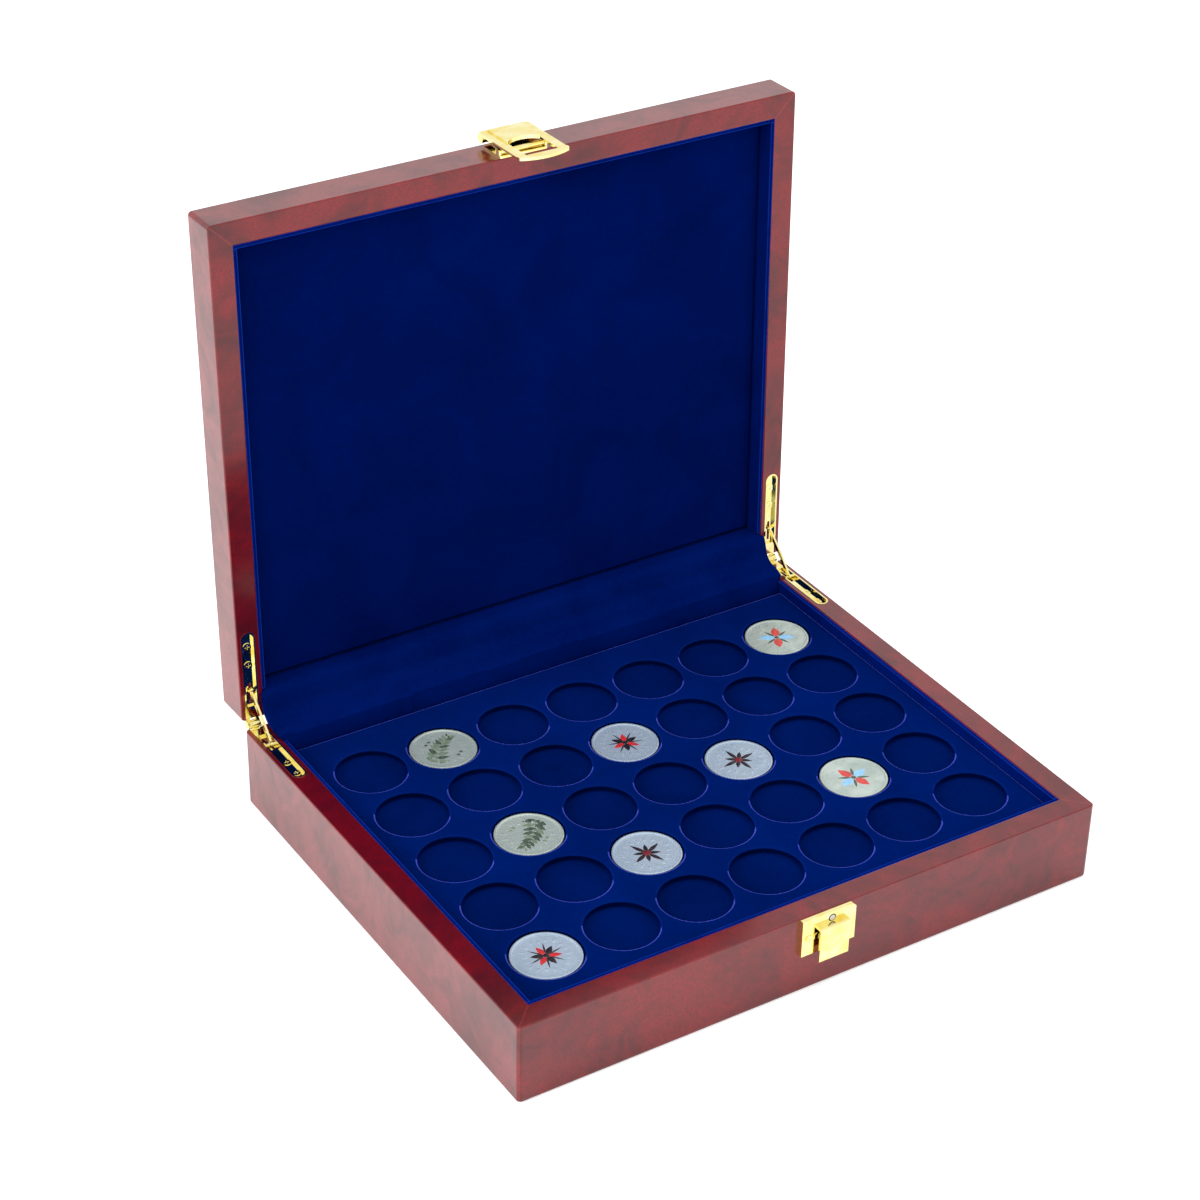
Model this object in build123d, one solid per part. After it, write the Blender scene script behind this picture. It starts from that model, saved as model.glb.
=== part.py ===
from build123d import *
import math
import os

# Coin display case: a hinged wooden box with a velvet tray of round pockets.
# Millimetres, +Z up, X across the case, Y towards the hinges, origin at the
# centre of the underside. Lid pieces are drawn shut, then swung open.

# ---- case box
case_width = 305.0
case_depth = 250.0
base_height = 40.5
lid_height = 20.0
rim_gap = 0.5
wall_thickness = 11.5
corner_radius = 2.0
outer_edge_radius = 1.2
rim_edge_radius = 0.6
base_panel_thickness = 4.0
lid_panel_thickness = 5.0
rabbet_width = 5.0
mitre_margin = 3.0

# ---- lining
liner_thickness = 1.8
liner_drop = 0.4
lining_gap = 0.3
tray_drop = 5.6
hole_board_thickness = 3.2
backing_board_thickness = 3.0
support_width = 12.0
strip_channel = 8.0
strip_filler_thickness = 5.0
strip_filler_drop = 8.0
lid_recess = 8.5
lining_panel_thickness = 2.0
lid_lining_back_margin = 3.0
board_edge_radius = 0.5

# ---- pockets and coins
pocket_columns = 7
pocket_rows = 5
tray_side_border = 5.9
tray_front_border = 8.8
tray_back_border = 13.1
pocket_web = 4.4
coin_clearance = 0.9
coin_thickness = 2.6
coin_rim_width = 1.1
coin_rim_height = 0.3
coin_edge_radius = 0.25
# filled pockets as (row from the back, column from the left)
coin_places = [(1, 2), (1, 7), (2, 4), (3, 2), (3, 5), (4, 3), (4, 6), (5, 1)]

# ---- velvet hinge strip, section points (y from the hinge axis, z from the
# base rim) with the lid open
strip_thickness = 1.6
strip_section = [
    (-20.7, -8.5), (-20.1, -3.9), (-16.9, 0.1), (-12.1, 2.1), (-7.1, 3.1),
    (-3.5, 6.1), (-1.7, 10.7), (-0.2, 14.3), (2.6, 15.9), (6.2, 16.1), (10.3, 15.6),
]
strip_hinge_gap = 0.75
strip_wide_front = 14.5
strip_wide_back = 0.5

# ---- stay hinges, leaf lengths measured forward of the hinge axis and the
# screws back from the leaf's front end
lid_open_angle = 91.5
hinge_setback = 2.5
leaf_width = 7.0
leaf_wall = 0.8
leaf_depth = 1.8
leaf_proud = 0.2
leaf_reach = 49.5
channel_end = 8.5
strap_thickness = 1.5
strap_end = 2.9
mortise_clearance = 0.1
barrel_radius = 2.2
hinge_pin_radius = 0.9
running_clearance = 0.05
base_barrel_width = 2.8
barrel_gap = 0.05
stay_pin_setback = 18.0
stay_pin_drop = 0.6
stay_pin_radius = 0.7
stay_eye_radius = 1.3
stay_tip_eye_radius = 1.1
stay_thickness = 1.0
stay_root_half_height = 0.7
stay_middle_half_height = 1.25
stay_tip_half_height = 0.55
stay_bow = 0.05
stay_slot_start = 21.5
stay_slot_end = 11.0
stay_slot_clearance = 0.2
tip_rivet_radius = 0.6
tip_rivet_length = 2.4
base_screw_inset = 6.0
base_screw_spacing = 9.7
lid_screw_inset = 8.5
lid_screw_spacing = 10.0

# ---- screws
screw_head_radius = 2.1
screw_head_height = 0.3
screw_shank_radius = 0.9
screw_length = 6.0
screw_hole_clearance = 0.05
screw_slot_length = 2.4
screw_slot_width = 0.5
screw_slot_depth = 0.2

# ---- latch on the lid front, heights measured from the lid rim
latch_offset = 3.8
latch_plate_width = 25.0
latch_plate_height = 15.0
latch_plate_thickness = 1.0
latch_plate_rise = 0.2
latch_corner_radius = 1.0
ear_thickness = 1.2
ear_radius = 1.3
link_pivot_rise = 2.6
link_pivot_standoff = 2.4
link_barrel_radius = 1.2
link_thickness = 1.0
link_side_clearance = 0.2
flap_pivot_rise = 17.2
flap_pivot_standoff = 4.1
link_shoulder_rise = 13.9
link_neck_width = 12.0
latch_pin_radius = 0.7
flap_width = 26.0
flap_thickness = 1.0
flap_standoff = 5.4
flap_back_rise = 19.4
flap_front_drop = 17.8
flap_front_bow = 3.0
flap_corner_radius = 1.5
flap_barrel_radius = 2.3
flap_barrel_gap = 0.2
window_width = 16.4
window_front_drop = 15.4
window_side_rise = 0.4
window_arch_rise = 3.8
pad_width = 17.4
pad_back_rise = 17.9
pad_thickness = 0.8
lip_width = 1.3
lip_height = 0.3
latch_screw_rise = 9.0
latch_screw_spacing = 15.0

# ---- catch on the base front, heights measured from the base rim
catch_left = 15.6
catch_right = 12.8
catch_drop = 0.6
catch_height = 19.0
catch_standoff = 2.2
sheet_thickness = 1.0
catch_corner_chamfer = 1.6
tongue_width = 15.6
tongue_standoff = 5.1
tongue_top_drop = 5.8
tongue_bottom_drop = 23.5
tongue_bend = 1.3
rivet_drop = 3.7
rivet_radius = 1.5
rivet_height = 0.5
rivet_hole_clearance = 0.45
catch_screw_drop = 11.0
catch_screw_left = 11.9
catch_screw_spacing = 4.7

# ---- places that follow from the sizes above
inner_width = case_width - 2 * wall_thickness
inner_depth = case_depth - 2 * wall_thickness
hinge_y = case_depth / 2 + hinge_setback
hinge_z = base_height + rim_gap / 2
lid_rim = base_height + rim_gap
lid_top = lid_rim + lid_height
hinge_x = case_width / 2 - wall_thickness / 2
tray_top = base_height - tray_drop
pocket_floor = tray_top - hole_board_thickness
support_top = pocket_floor - backing_board_thickness
tray_half_width = inner_width / 2 - liner_thickness - lining_gap
tray_front = -inner_depth / 2 + liner_thickness + lining_gap
tray_back = inner_depth / 2 - strip_channel
pocket_pitch_x = 2 * (tray_half_width - tray_side_border) / pocket_columns
pocket_row_front = tray_front + tray_front_border
pocket_row_back = tray_back - tray_back_border
pocket_pitch_y = (pocket_row_back - pocket_row_front) / pocket_rows
pocket_centre_y = (pocket_row_back + pocket_row_front) / 2
pocket_radius = (min(pocket_pitch_x, pocket_pitch_y) - pocket_web) / 2
coin_radius = pocket_radius - coin_clearance
strip_line = [(hinge_y + y, base_height + z) for y, z in strip_section]
strip_half_length = tray_half_width - lining_gap
strip_wide_half_length = hinge_x - leaf_width / 2 - strip_hinge_gap
leaf_front = hinge_y - leaf_reach
channel_back = hinge_y - channel_end
strap_back = hinge_y - strap_end
base_screw_front = leaf_front + base_screw_inset
lid_screw_front = leaf_front + lid_screw_inset
base_leaf_screws = [base_screw_front, base_screw_front + base_screw_spacing]
lid_leaf_screws = [lid_screw_front, lid_screw_front + lid_screw_spacing]
stay_pin_y = hinge_y - stay_pin_setback
stay_pin_z = base_height - stay_pin_drop
lid_axis = Axis((0, hinge_y, hinge_z), (1, 0, 0))
shut_plane = Plane.XY.offset(hinge_z)


def save(node, shape):
    """Writes one node as its own STEP file."""
    shape.label = node
    export_step(shape, f"parts/{node}.step")


def opened(shape):
    """Swings a lid piece from shut to fully open."""
    return shape.rotate(lid_axis, -lid_open_angle)


def slab(x_low, x_high, y_low, y_high, z_low, z_high):
    """Box given by its faces."""
    size = Box(x_high - x_low, y_high - y_low, z_high - z_low)
    return Pos((x_low + x_high) / 2, (y_low + y_high) / 2, (z_low + z_high) / 2) * size


def cross_rod(radius, length, x, y, z):
    """Round rod along X."""
    return Pos(x, y, z) * Rot(0, 90, 0) * Cylinder(radius, length)


# ---- wooden walls and panels


def wall_ring(height, panel_thickness):
    """Closed ring of walls on its outer face, with a rabbet for the panel."""
    ring = extrude(RectangleRounded(case_width, case_depth, corner_radius), height)
    ring = fillet(ring.edges().group_by(Axis.Z)[0], outer_edge_radius)
    ring = fillet(ring.edges().group_by(Axis.Z)[-1], rim_edge_radius)
    ring -= extrude(Rectangle(inner_width, inner_depth), height)
    rabbet = Rectangle(inner_width + 2 * rabbet_width, inner_depth + 2 * rabbet_width)
    ring -= extrude(rabbet, panel_thickness)
    rim = ring.edges().group_by(Axis.Z)[-1]
    return fillet([edge for edge in rim if is_inner(edge)], rim_edge_radius)


def is_inner(edge):
    """True for an edge on the inner faces of the walls."""
    centre = edge.center()
    within_x = abs(centre.X) < (inner_width + wall_thickness) / 2
    within_y = abs(centre.Y) < (inner_depth + wall_thickness) / 2
    return within_x and within_y


def wall_region(side, height):
    """Wedge between two mitre planes that holds one wall."""
    out = mitre_margin
    inward = wall_thickness + mitre_margin
    across = side in ("front", "back")
    half_length = (case_width if across else case_depth) / 2
    reach = (case_depth if across else case_width) / 2
    outline = Polyline(
        (-half_length - out, -reach - out), (half_length + out, -reach - out),
        (half_length - inward, -reach + inward), (-half_length + inward, -reach + inward),
        close=True,
    )
    turn = {"front": 0, "right": 90, "back": 180, "left": 270}[side]
    return Rot(0, 0, turn) * extrude(make_face(outline), height)


def base_walls(cuts):
    """Four mitred base walls with the fittings let in."""
    ring = wall_ring(base_height, base_panel_thickness)
    for side in ("front", "back", "left", "right"):
        save(f"base_{side}_wall", (ring & wall_region(side, base_height)) - cuts)


def lid_walls(cuts):
    """Four mitred lid walls with the fittings let in."""
    ring = wall_ring(lid_height, lid_panel_thickness)
    for side in ("front", "back", "left", "right"):
        wall = ring & wall_region(side, lid_height)
        wall = Pos(0, 0, lid_top) * mirror(wall, about=Plane.XY)
        save(f"lid_{side}_wall", opened(wall - cuts))


def panels():
    """Bottom panel and lid top panel in their rabbets."""
    outline = Rectangle(inner_width + 2 * rabbet_width, inner_depth + 2 * rabbet_width)
    save("base_bottom_panel", extrude(outline, base_panel_thickness))
    top = Pos(0, 0, lid_top - lid_panel_thickness) * extrude(outline, lid_panel_thickness)
    save("lid_top_panel", opened(top))


# ---- lining, tray and coins


def board(x_low, x_high, y_low, y_high, z_low, z_high):
    """Covered card board with its upright corners rounded."""
    shape = slab(x_low, x_high, y_low, y_high, z_low, z_high)
    return fillet(shape.edges().filter_by(Axis.Z), board_edge_radius)


def base_lining():
    """Liner boards on the inner faces of the base walls."""
    low = base_panel_thickness
    high = base_height - liner_drop
    half_x = inner_width / 2
    half_y = inner_depth / 2
    inner_x = half_x - liner_thickness
    inner_y = half_y - liner_thickness
    filler_y = half_y - strip_filler_thickness
    filler_top = base_height - strip_filler_drop
    save("base_liner_front", board(-half_x, half_x, -half_y, -inner_y, low, high))
    save("base_liner_left", board(-half_x, -inner_x, -inner_y, filler_y, low, high))
    save("base_liner_right", board(inner_x, half_x, -inner_y, filler_y, low, high))
    save("base_liner_back", board(-half_x, half_x, filler_y, half_y, low, filler_top))


def lid_lining():
    """Liner boards, padding board and lining panel inside the lid."""
    low = lid_rim + liner_drop
    high = lid_top - lid_panel_thickness
    half_x = inner_width / 2
    half_y = inner_depth / 2
    inner_x = half_x - liner_thickness
    inner_y = half_y - liner_thickness
    back_y = half_y - lid_lining_back_margin
    panel_x = inner_x - lining_gap
    panel_y = inner_y - lining_gap
    surface = lid_rim + lid_recess
    padding_low = surface + lining_panel_thickness
    boards = {
        "lid_liner_front": board(-half_x, half_x, -half_y, -inner_y, low, high),
        "lid_liner_left": board(-half_x, -inner_x, -inner_y, back_y, low, high),
        "lid_liner_right": board(inner_x, half_x, -inner_y, back_y, low, high),
        "lid_lining_panel": board(-panel_x, panel_x, -panel_y, back_y, surface, padding_low),
        "lid_padding_board": board(-panel_x, panel_x, -panel_y, back_y, padding_low, high),
    }
    for node, shape in boards.items():
        save(node, opened(shape))


def pocket_place(row, column):
    """Centre of a pocket, rows counted from the back, columns from the left."""
    x = (column - (pocket_columns + 1) / 2) * pocket_pitch_x
    y = pocket_centre_y - (row - (pocket_rows + 1) / 2) * pocket_pitch_y
    return x, y


def tray():
    """Pocket board, backing board and the strips that carry them."""
    plan = (-tray_half_width, tray_half_width, tray_front, tray_back)
    holes = board(*plan, pocket_floor, tray_top)
    for row in range(1, pocket_rows + 1):
        for column in range(1, pocket_columns + 1):
            x, y = pocket_place(row, column)
            holes -= Pos(x, y, (pocket_floor + tray_top) / 2) * Cylinder(
                pocket_radius, hole_board_thickness
            )
    save("tray_hole_board", holes)
    save("tray_backing_board", board(*plan, support_top, pocket_floor))
    strips = []
    for x in (-tray_half_width, -support_width / 2, tray_half_width - support_width):
        strips.append(
            slab(x, x + support_width, tray_front, tray_back, base_panel_thickness, support_top)
        )
    save("tray_support_strips", Compound(children=strips))


def coins():
    """Coins with a raised rim, each lying in its pocket."""
    for row, column in coin_places:
        x, y = pocket_place(row, column)
        coin = Pos(0, 0, coin_thickness / 2) * Cylinder(coin_radius, coin_thickness)
        coin = fillet(coin.edges().filter_by(GeomType.CIRCLE), coin_edge_radius)
        sunk = Cylinder(coin_radius - coin_rim_width, coin_rim_height)
        coin -= Pos(0, 0, coin_thickness - coin_rim_height / 2) * sunk
        save(f"coin_r{row}_c{column}", Pos(x, y, pocket_floor) * coin)


def hinge_strip():
    """Padded velvet strip from the tray over both back rims into the lid."""
    half = strip_thickness / 2
    front_side = []
    back_side = []
    last = len(strip_line) - 1
    for index, (y, z) in enumerate(strip_line):
        before = strip_line[max(index - 1, 0)]
        after = strip_line[min(index + 1, last)]
        along = Vector(after[0] - before[0], after[1] - before[1]).normalized()
        front_side.append((y - half * along.Y, z + half * along.X))
        back_side.append((y + half * along.Y, z - half * along.X))
    outline = make_face(
        Plane.YZ * (
            Spline(*front_side)
            + Line(front_side[-1], back_side[-1])
            + Spline(*reversed(back_side))
            + Line(back_side[0], front_side[0])
        )
    )
    strip = extrude(outline, strip_half_length, both=True)
    wide = extrude(outline, strip_wide_half_length, both=True)
    reach = strip_wide_half_length
    over_rims = slab(
        -reach, reach, hinge_y - strip_wide_front, hinge_y + strip_wide_back,
        base_height + lining_gap, lid_top,
    )
    save("velvet_hinge_strip", strip + (wide & over_rims))


# ---- screws


def screw():
    """Cross-slot screw with its head underside at z = 0, pointing down."""
    head = Pos(0, 0, screw_head_height / 2) * Cylinder(screw_head_radius, screw_head_height)
    slot_z = screw_head_height - screw_slot_depth / 2
    head -= Pos(0, 0, slot_z) * Box(screw_slot_length, screw_slot_width, screw_slot_depth)
    head -= Pos(0, 0, slot_z) * Box(screw_slot_width, screw_slot_length, screw_slot_depth)
    shank = Pos(0, 0, -screw_length / 2) * Cylinder(screw_shank_radius, screw_length)
    return head + shank


def screw_hole():
    """Hole that a screw's shank passes through."""
    radius = screw_shank_radius + screw_hole_clearance
    depth = screw_length + screw_hole_clearance
    return Pos(0, 0, -depth / 2) * Cylinder(radius, depth)


# ---- stay hinges


def leaf_plan(width, back):
    """Plan of a leaf from its round front end to a straight back end."""
    centre = leaf_front + leaf_width / 2
    body = Pos(0, (centre + back) / 2) * Rectangle(width, back - centre)
    return body + Pos(0, centre) * Circle(width / 2)


def leaf_floor():
    """Height of the leaf's channel floor, drawn for the base."""
    return base_height + leaf_proud - leaf_depth


def leaf_mortise():
    """Room for a leaf in the rim and out through the back, drawn for the base."""
    width = leaf_width + 2 * mortise_clearance
    low = leaf_floor() - leaf_wall
    plan = leaf_plan(width, channel_back + mortise_clearance)
    pocket = Pos(0, 0, low) * extrude(plan, leaf_depth + leaf_wall)
    strap_low = hinge_z - barrel_radius
    back = slab(-width / 2, width / 2, channel_back, hinge_y, strap_low, lid_rim)
    return pocket + back


def hinge_leaf(screws, barrels, bore_radius):
    """Channel leaf with its strap and barrels, drawn for the base."""
    low = leaf_floor() - leaf_wall
    strap_low = hinge_z - barrel_radius
    strap_high = strap_low + strap_thickness
    half = leaf_width / 2
    leaf = Pos(0, 0, low) * extrude(leaf_plan(leaf_width, channel_back), leaf_depth + leaf_wall)
    hollow = leaf_plan(leaf_width - 2 * leaf_wall, channel_back - leaf_wall)
    leaf -= Pos(0, 0, leaf_floor()) * extrude(hollow, leaf_depth)
    leaf -= slab(-half, half, channel_back - leaf_wall, channel_back, strap_high, lid_rim)
    leaf += slab(-half, half, channel_back - leaf_wall, strap_back, strap_low, strap_high)
    for x_low, x_high in barrels:
        leaf += slab(x_low, x_high, strap_back, hinge_y, strap_low, strap_high)
        leaf += cross_rod(barrel_radius, x_high - x_low, (x_low + x_high) / 2, hinge_y, hinge_z)
    leaf -= cross_rod(bore_radius, leaf_width, 0, hinge_y, hinge_z)
    for y in screws:
        leaf -= Pos(0, y, leaf_floor()) * screw_hole()
    slot = stay_thickness / 2 + stay_slot_clearance
    leaf -= slab(
        -slot, slot, hinge_y - stay_slot_start, hinge_y - stay_slot_end, low, leaf_floor()
    )
    return leaf


def leaf_screws(screws):
    """Screws in a leaf's channel floor, drawn for the base."""
    return Compound(children=[Pos(0, y, leaf_floor()) * screw() for y in screws])


def leaf_screw_holes(screws):
    """Pilot holes below a leaf, drawn for the base."""
    return [Pos(0, y, leaf_floor()) * screw_hole() for y in screws]


def swung(y, z):
    """Where a point (y, z) of the shut lid stands with the lid open."""
    turn = math.radians(lid_open_angle)
    back = y - hinge_y
    up = z - hinge_z
    y_open = hinge_y + back * math.cos(turn) + up * math.sin(turn)
    z_open = hinge_z - back * math.sin(turn) + up * math.cos(turn)
    return y_open, z_open


def stay_frame():
    """Plane of the stay arm: X from its pin to its tip, lid open."""
    y_tip, z_tip = swung(stay_pin_y, 2 * hinge_z - stay_pin_z)
    reach = Vector(0, y_tip - stay_pin_y, z_tip - stay_pin_z)
    return Plane(origin=(0, stay_pin_y, stay_pin_z), x_dir=reach, z_dir=(1, 0, 0)), reach.length


def stay_arm():
    """Bowed, tapered arm with an eye at each end."""
    plane, length = stay_frame()
    root = stay_root_half_height
    tip = stay_tip_half_height
    middle = stay_middle_half_height
    outline = Curve() + [
        ThreePointArc((0, root), (length / 2, stay_bow + middle), (length, tip)),
        Line((length, tip), (length, -tip)),
        ThreePointArc((length, -tip), (length / 2, stay_bow - middle), (0, -root)),
        Line((0, -root), (0, root)),
    ]
    plan = make_face(outline) + Circle(stay_eye_radius)
    plan += Pos(length, 0) * Circle(stay_tip_eye_radius)
    plan -= Circle(stay_pin_radius + running_clearance)
    plan -= Pos(length, 0) * Circle(tip_rivet_radius)
    return plane * extrude(plan, stay_thickness / 2, both=True)


def hinges():
    """Both stay hinges, and the cuts they need in the base and the lid."""
    base_cuts = []
    lid_cuts = []
    half = leaf_width / 2
    middle = base_barrel_width / 2
    outer = middle + barrel_gap
    plane, length = stay_frame()
    inner_width_of_leaf = leaf_width - 2 * leaf_wall
    for side, x in (("left", -hinge_x), ("right", hinge_x)):
        place = Pos(x, 0, 0)
        base_leaf = hinge_leaf(base_leaf_screws, [(-middle, middle)], hinge_pin_radius)
        lid_bore = hinge_pin_radius + running_clearance
        lid_leaf = hinge_leaf(lid_leaf_screws, [(-half, -outer), (outer, half)], lid_bore)
        lid_leaf = mirror(lid_leaf, about=shut_plane)
        lid_screws = mirror(leaf_screws(lid_leaf_screws), about=shut_plane)
        rivet = plane * Pos(length, 0, 0) * Cylinder(tip_rivet_radius, tip_rivet_length)
        save(f"{side}_hinge_base_leaf", place * base_leaf)
        save(f"{side}_hinge_lid_leaf", opened(place * lid_leaf))
        save(f"{side}_hinge_pin", cross_rod(hinge_pin_radius, leaf_width, x, hinge_y, hinge_z))
        save(f"{side}_hinge_base_screws", place * leaf_screws(base_leaf_screws))
        save(f"{side}_hinge_lid_screws", opened(place * lid_screws))
        save(
            f"{side}_stay_pin",
            cross_rod(stay_pin_radius, inner_width_of_leaf, x, stay_pin_y, stay_pin_z),
        )
        save(f"{side}_stay_arm", place * stay_arm())
        save(f"{side}_stay_tip_rivet", place * rivet)
        base_cuts += [place * leaf_mortise()]
        base_cuts += [place * hole for hole in leaf_screw_holes(base_leaf_screws)]
        lid_cuts += [place * mirror(leaf_mortise(), about=shut_plane)]
        for hole in leaf_screw_holes(lid_leaf_screws):
            lid_cuts += [place * mirror(hole, about=shut_plane)]
    return base_cuts, lid_cuts


# ---- latch on the lid and catch on the base
# Both are drawn standing off the front face: local X across, local Y up from
# the rim, local Z out from the wood.


def front_plane(rim):
    """Plane on the front face with its origin on the rim below the latch."""
    origin = (latch_offset, -case_depth / 2, rim)
    return Plane(origin=origin, x_dir=(1, 0, 0), z_dir=(0, -1, 0))


def plate_box(x_low, x_high, y_low, y_high, low, high):
    """Flat box in the front plane."""
    return slab(x_low, x_high, y_low, y_high, low, high)


def rod(radius, x_low, x_high, rise, standoff):
    """Round rod across the latch."""
    return cross_rod(radius, x_high - x_low, (x_low + x_high) / 2, rise, standoff)


def latch_base_plate():
    """Plate on the lid front with two ears for the link."""
    half = latch_plate_width / 2
    top = latch_plate_rise + latch_plate_height
    plate = plate_box(-half, half, latch_plate_rise, top, 0, latch_plate_thickness)
    plate = fillet(plate.edges().filter_by(Axis.Z), latch_corner_radius)
    for x_low, x_high in ((-half, ear_thickness - half), (half - ear_thickness, half)):
        ear = plate_box(
            x_low, x_high, link_pivot_rise - ear_radius, link_pivot_rise + ear_radius,
            0, link_pivot_standoff,
        )
        plate += ear + rod(ear_radius, x_low, x_high, link_pivot_rise, link_pivot_standoff)
    plate -= rod(latch_pin_radius, -half, half, link_pivot_rise, link_pivot_standoff)
    for x in (-latch_screw_spacing / 2, latch_screw_spacing / 2):
        plate -= Pos(x, latch_screw_rise, latch_plate_thickness) * screw_hole()
    return plate


def latch_link():
    """Plate that swings on the ears and carries the flap."""
    half = latch_plate_width / 2 - ear_thickness - link_side_clearance
    neck = link_neck_width / 2
    rise = flap_pivot_rise - link_pivot_rise
    out = flap_pivot_standoff - link_pivot_standoff
    slope = math.degrees(math.atan2(out, rise))
    length = math.hypot(rise, out)
    shoulder = (link_shoulder_rise - link_pivot_rise) / rise * length
    thick = link_thickness / 2
    blade = plate_box(-half, half, 0, shoulder, -thick, thick)
    blade += plate_box(-neck, neck, shoulder, length, -thick, thick)
    link = Pos(0, link_pivot_rise, link_pivot_standoff) * Rot(slope, 0, 0) * blade
    link += rod(link_barrel_radius, -half, half, link_pivot_rise, link_pivot_standoff)
    link += rod(link_barrel_radius, -neck, neck, flap_pivot_rise, flap_pivot_standoff)
    bore = latch_pin_radius + running_clearance
    link -= rod(bore, -half, half, link_pivot_rise, link_pivot_standoff)
    link -= rod(bore, -neck, neck, flap_pivot_rise, flap_pivot_standoff)
    return link


def window_outline():
    """Window of the flap: straight front edge, arched back edge."""
    half = window_width / 2
    return Curve() + [
        Line((-half, -window_front_drop), (half, -window_front_drop)),
        Line((half, -window_front_drop), (half, window_side_rise)),
        ThreePointArc((half, window_side_rise), (0, window_arch_rise), (-half, window_side_rise)),
        Line((-half, window_side_rise), (-half, -window_front_drop)),
    ]


def flap_outline(inset):
    """Outer edge of the flap with its bowed front, moved in by an inset."""
    half = flap_width / 2 - inset
    front = -flap_front_drop + inset
    back = flap_back_rise - inset
    return Curve() + [
        Line((half, front), (half, back)),
        Line((half, back), (-half, back)),
        Line((-half, back), (-half, front)),
        ThreePointArc((-half, front), (0, front - flap_front_bow), (half, front)),
    ]


def latch_flap():
    """Flap with its window, raised pad, front lip and side barrels."""
    sheet = extrude(make_face(flap_outline(0)), flap_thickness)
    sheet = fillet(sheet.edges().filter_by(Axis.Z), flap_corner_radius)
    pad_half = pad_width / 2
    pad_low = window_side_rise
    sheet += plate_box(
        -pad_half, pad_half, pad_low, pad_back_rise, flap_thickness, flap_thickness + pad_thickness
    )
    lip = extrude(make_face(flap_outline(0)), flap_thickness + lip_height)
    lip = fillet(lip.edges().filter_by(Axis.Z), flap_corner_radius)
    inside = flap_outline(lip_width)
    lip -= extrude(make_face(inside), flap_thickness + lip_height)
    reach = flap_width / 2
    top = flap_thickness + lip_height
    lip &= plate_box(-reach, reach, -window_front_drop - reach, -window_front_drop, 0, top)
    flap = sheet + lip
    flap -= extrude(make_face(window_outline()), flap_thickness + pad_thickness)
    flap = Pos(0, 0, flap_standoff) * flap
    inner = link_neck_width / 2 + flap_barrel_gap
    for x_low, x_high in ((-reach, -inner), (inner, reach)):
        flap += rod(flap_barrel_radius, x_low, x_high, flap_pivot_rise, flap_pivot_standoff)
    flap -= rod(latch_pin_radius, -reach, reach, flap_pivot_rise, flap_pivot_standoff)
    return flap


def latch():
    """Latch pieces on the lid, and the screw holes they need in its front."""
    plane = front_plane(lid_rim)
    half = latch_plate_width / 2
    reach = flap_width / 2
    screw_xs = (-latch_screw_spacing / 2, latch_screw_spacing / 2)
    places = [Pos(x, latch_screw_rise, latch_plate_thickness) for x in screw_xs]
    pieces = {
        "latch_base_plate": latch_base_plate(),
        "latch_link": latch_link(),
        "latch_flap": latch_flap(),
        "latch_link_pin": rod(
            latch_pin_radius, -half, half, link_pivot_rise, link_pivot_standoff
        ),
        "latch_flap_pin": rod(
            latch_pin_radius, -reach, reach, flap_pivot_rise, flap_pivot_standoff
        ),
        "latch_screws": Compound(children=[place * screw() for place in places]),
    }
    for node, shape in pieces.items():
        save(node, opened(plane * shape))
    return [plane * place * screw_hole() for place in places]


def catch_plate():
    """Shallow pan on the base front with a tongue folded out over it."""
    top = -catch_drop
    bottom = top - catch_height
    outer = plate_box(-catch_left, catch_right, bottom, top, 0, catch_standoff)
    upright = outer.edges().filter_by(Axis.Z)
    outer = chamfer(upright.group_by(Axis.Y)[-1].sort_by(Axis.X)[-1], catch_corner_chamfer)
    inner_low = catch_standoff - sheet_thickness
    outer -= plate_box(
        sheet_thickness - catch_left, catch_right - sheet_thickness, bottom,
        top - sheet_thickness, 0, inner_low,
    )
    half = tongue_width / 2
    tongue = plate_box(
        -half, half, -tongue_bottom_drop, -tongue_top_drop,
        tongue_standoff - sheet_thickness, tongue_standoff,
    )
    tongue += plate_box(
        -half, half, -tongue_top_drop - tongue_bend, -tongue_top_drop,
        catch_standoff, tongue_standoff,
    )
    fold = tongue.edges().filter_by(Axis.X).group_by(Axis.Y)[-1].sort_by(Axis.Z)[-1]
    tongue = fillet(fold, sheet_thickness)
    plate = outer + tongue
    rivet_hole = rivet_radius + rivet_hole_clearance
    plate -= Pos(0, -rivet_drop, catch_standoff) * Cylinder(rivet_hole, 2 * catch_standoff)
    for index in range(2):
        x = -catch_screw_left + index * catch_screw_spacing
        plate -= Pos(x, -catch_screw_drop, catch_standoff) * screw_hole()
    return plate


def catch():
    """Catch pieces on the base, and the holes they need in its front."""
    plane = front_plane(base_height)
    rivet = Pos(0, -rivet_drop, catch_standoff / 2) * Cylinder(rivet_radius, catch_standoff)
    dome = Pos(0, -rivet_drop, catch_standoff) * Cylinder(rivet_radius, rivet_height)
    rivet += fillet(dome.edges().group_by(Axis.Z)[-1], rivet_height / 3)
    places = []
    for index in range(2):
        x = -catch_screw_left + index * catch_screw_spacing
        places.append(Pos(x, -catch_screw_drop, catch_standoff))
    save("catch_plate", plane * catch_plate())
    save("catch_rivet", plane * rivet)
    save("catch_screws", Compound(children=[plane * place * screw() for place in places]))
    return [plane * place * screw_hole() for place in places]


os.makedirs("parts", exist_ok=True)
hinge_base_cuts, hinge_lid_cuts = hinges()
base_walls(Part() + hinge_base_cuts + catch())
lid_walls(Part() + hinge_lid_cuts + latch())
panels()
base_lining()
lid_lining()
tray()
coins()
hinge_strip()
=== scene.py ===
"""Looks of a hinged coin display case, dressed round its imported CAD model."""

import logging
import math
from dataclasses import dataclass
from enum import Enum
from typing import Any, Sequence

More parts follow.
